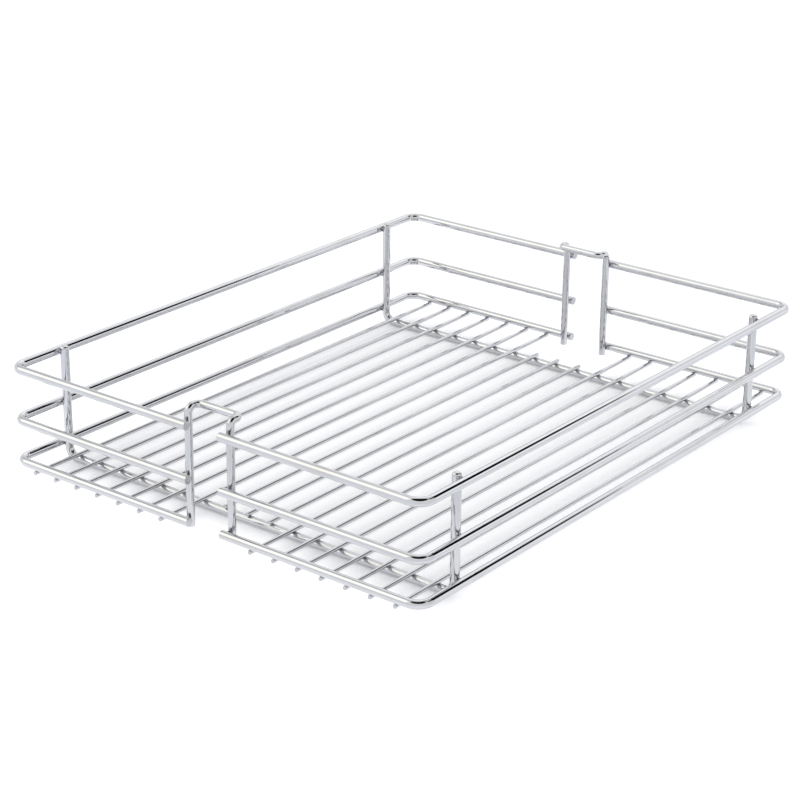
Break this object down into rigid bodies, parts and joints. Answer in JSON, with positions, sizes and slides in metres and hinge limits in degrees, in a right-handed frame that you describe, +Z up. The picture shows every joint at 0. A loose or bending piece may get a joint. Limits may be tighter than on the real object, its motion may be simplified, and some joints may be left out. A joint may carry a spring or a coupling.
{
  "type": "wire storage basket",
  "caption": "Open chromed wire basket for a pull-out tall cabinet, with rails on U-shaped frames, a floor of parallel wires, and notched ends with hooks that hang on the pull-out's frame.",
  "frame": {"origin": "on the surface that the basket stands on, under the middle of the basket", "axes": "+Z up, +Y along the basket's depth from the front end to the rear end, +X across its width to the right as seen from the front"},
  "size_m": [0.395, 0.5, 0.1037],
  "materials": {
    "chrome": "polished"
  },
  "bodies": {
    "root": {"bottom_rail_left": "chrome", "bottom_rail_right": "chrome", "floor_wire_01": "chrome", "floor_wire_02": "chrome", "floor_wire_03": "chrome", "floor_wire_04": "chrome", "floor_wire_05": "chrome", "floor_wire_06": "chrome", "floor_wire_07": "chrome", "floor_wire_08": "chrome", "floor_wire_09": "chrome", "floor_wire_10": "chrome", "floor_wire_11": "chrome", "floor_wire_12": "chrome", "floor_wire_13": "chrome", "floor_wire_14": "chrome", "floor_wire_15": "chrome", "floor_wire_16": "chrome", "floor_wire_17": "chrome", "front_notch_hook": "chrome", "front_u_frame": "chrome", "middle_rail_left": "chrome", "middle_rail_right": "chrome", "rear_notch_hook": "chrome", "rear_u_frame": "chrome", "top_rail_left": "chrome", "top_rail_right": "chrome"}
  },
  "joints": []
}
